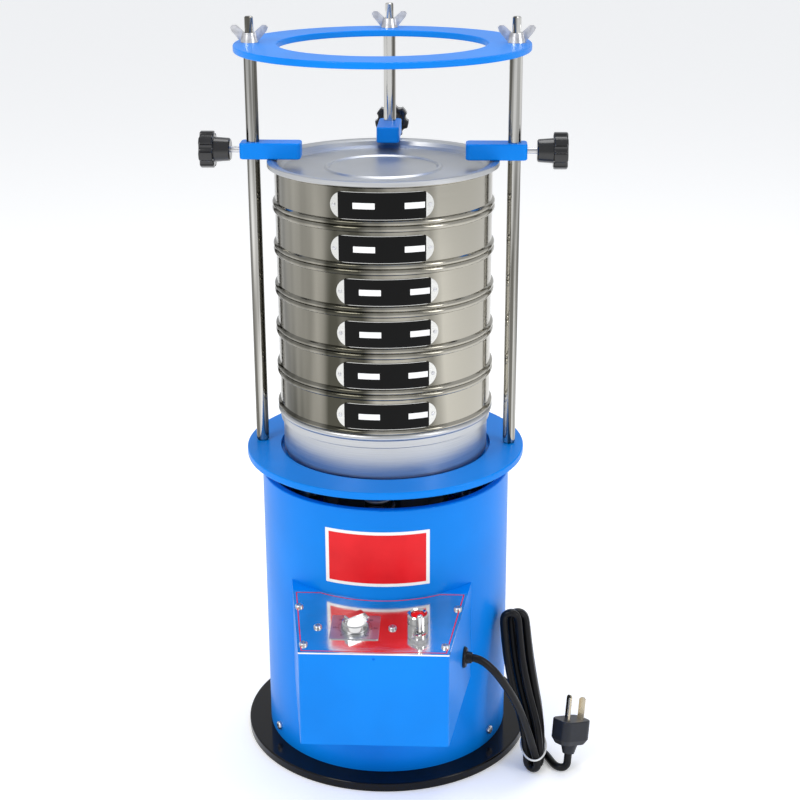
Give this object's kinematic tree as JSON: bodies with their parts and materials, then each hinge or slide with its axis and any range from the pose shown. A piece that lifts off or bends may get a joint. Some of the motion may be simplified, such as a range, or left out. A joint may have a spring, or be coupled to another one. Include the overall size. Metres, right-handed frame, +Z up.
{
  "type": "sieve shaker",
  "caption": "Bench sieve shaker: blue drum base with timer panel, vibrating table, clamped stack of steel test sieves between chrome rods, black knobs and mains cord.",
  "frame": {"origin": "Middle of the base plate's underside, on the bench surface.", "axes": "+Z up along the drum's axis; the control box faces -Y; the cord leaves on the +X side."},
  "size_m": [0.3708, 0.3816, 0.711],
  "materials": {
    "blue_paint": "gloss",
    "arm_paint": "gloss, over cast alloy",
    "black_gloss_paint": "gloss",
    "zinc_steel": "zinc plated",
    "spring_steel": "oiled",
    "mirror_steel": "mirror polished",
    "chrome_plate": "polished",
    "wire_mesh": "woven",
    "nameplate_metal": "black field",
    "satin_aluminium": "satin",
    "bright_steel": "ground",
    "black_plastic": "gloss",
    "red_lens": "clear",
    "black_rubber": "satin",
    "white_plastic": "matte",
    "charcoal_plastic": "matte",
    "plug_brass": "nickel plated",
    "motor_cast": "painted"
  },
  "bodies": {
    "housing": {"base_plate": "black_gloss_paint", "housing_shell": "blue_paint", "housing_screws": "zinc_steel", "spring_posts": "zinc_steel", "support_springs": "spring_steel", "control_box": "blue_paint", "control_panel": "mirror_steel", "panel_screws": "zinc_steel", "timer_body": "black_plastic", "timer_scale_plate": "satin_aluminium", "switch_body": "black_plastic", "lamp_body": "chrome_plate", "lamp_lens": "red_lens", "panel_nuts": "zinc_steel", "cable_grommet": "black_rubber", "cord_lead": "black_rubber", "cord_hank": "black_rubber", "cord_tail": "black_rubber", "cord_tie": "white_plastic", "plug_body": "charcoal_plastic", "plug_pins": "plug_brass"},
    "table": {"shaker_table": "blue_paint", "rod_left": "chrome_plate", "rod_right": "chrome_plate", "rod_rear": "chrome_plate", "rod_nuts": "zinc_steel", "top_ring": "blue_paint", "receiver_pan": "satin_aluminium", "sieve_frame_1": "mirror_steel", "sieve_frame_2": "mirror_steel", "sieve_frame_3": "mirror_steel", "sieve_frame_4": "mirror_steel", "sieve_frame_5": "mirror_steel", "sieve_frame_6": "mirror_steel", "sieve_meshes": "wire_mesh", "sieve_nameplates": "nameplate_metal", "sieve_lid": "satin_aluminium", "motor_frame": "motor_cast", "motor_end_shields": "motor_cast", "motor_bearings": "bright_steel", "motor_bolts": "zinc_steel"},
    "rotor": {"motor_shaft": "bright_steel", "upper_weight": "motor_cast", "lower_weight": "motor_cast", "weight_screws": "zinc_steel"},
    "clamp_arm_left_body": {"clamp_arm_left": "arm_paint"},
    "clamp_knob_left_body": {"clamp_screw_left": "bright_steel", "clamp_knob_left": "black_plastic"},
    "wing_nut_left_body": {"wing_nut_left": "zinc_steel"},
    "clamp_arm_right_body": {"clamp_arm_right": "arm_paint"},
    "clamp_knob_right_body": {"clamp_screw_right": "bright_steel", "clamp_knob_right": "black_plastic"},
    "wing_nut_right_body": {"wing_nut_right": "zinc_steel"},
    "clamp_arm_rear_body": {"clamp_arm_rear": "arm_paint"},
    "clamp_knob_rear_body": {"clamp_screw_rear": "bright_steel", "clamp_knob_rear": "black_plastic"},
    "wing_nut_rear_body": {"wing_nut_rear": "zinc_steel"},
    "timer_knob_body": {"timer_knob": "chrome_plate"},
    "toggle_lever_body": {"toggle_lever": "chrome_plate"}
  },
  "joints": [
    {"name": "table_bounce", "type": "slide", "parent": "housing", "child": "table", "axis": [0, 0, 1], "range_m": [-0.005, 0.005], "stiffness_N_per_m": 50000, "springref_m": 0.00417, "deforming": ["support_springs"]},
    {"name": "motor_spin", "type": "hinge", "parent": "table", "child": "rotor", "pos_m": [0, 0, 0.188], "axis": [0, 0, 1], "continuous": true},
    {"name": "clamp_left_slide", "type": "slide", "parent": "table", "child": "clamp_arm_left_body", "axis": [0, 0, 1], "range_m": [0, 0.083]},
    {"name": "clamp_left_knob", "type": "hinge", "parent": "clamp_arm_left_body", "child": "clamp_knob_left_body", "pos_m": [-0.155, 0, 0.59085], "axis": [-1, 0, 0], "range_deg": [0, 990]},
    {"name": "wing_nut_left_turn", "type": "hinge", "parent": "table", "child": "wing_nut_left_body", "pos_m": [-0.12, 0, 0.6925], "axis": [0, 0, 1], "range_deg": [0, 990]},
    {"name": "clamp_right_slide", "type": "slide", "parent": "table", "child": "clamp_arm_right_body", "axis": [0, 0, 1], "range_m": [0, 0.083]},
    {"name": "clamp_right_knob", "type": "hinge", "parent": "clamp_arm_right_body", "child": "clamp_knob_right_body", "pos_m": [0.155, 0, 0.59085], "axis": [1, 0, 0], "range_deg": [0, 990]},
    {"name": "wing_nut_right_turn", "type": "hinge", "parent": "table", "child": "wing_nut_right_body", "pos_m": [0.12, 0, 0.6925], "axis": [0, 0, 1], "range_deg": [0, 990]},
    {"name": "clamp_rear_slide", "type": "slide", "parent": "table", "child": "clamp_arm_rear_body", "axis": [0, 0, 1], "range_m": [0, 0.083]},
    {"name": "clamp_rear_knob", "type": "hinge", "parent": "clamp_arm_rear_body", "child": "clamp_knob_rear_body", "pos_m": [0, 0.155, 0.59085], "axis": [0, 1, 0], "range_deg": [0, 990]},
    {"name": "wing_nut_rear_turn", "type": "hinge", "parent": "table", "child": "wing_nut_rear_body", "pos_m": [0, 0.12, 0.6925], "axis": [0, 0, 1], "range_deg": [0, 990]},
    {"name": "timer_turn", "type": "hinge", "parent": "housing", "child": "timer_knob_body", "pos_m": [-0.019, -0.17113, 0.1903], "axis": [0, 0.0785, -0.9969], "range_deg": [0, 300]},
    {"name": "toggle_tip", "type": "hinge", "parent": "housing", "child": "toggle_lever_body", "pos_m": [0.0398, -0.18876, 0.19122], "axis": [1, 0, 0], "range_deg": [0, 24]}
  ]
}
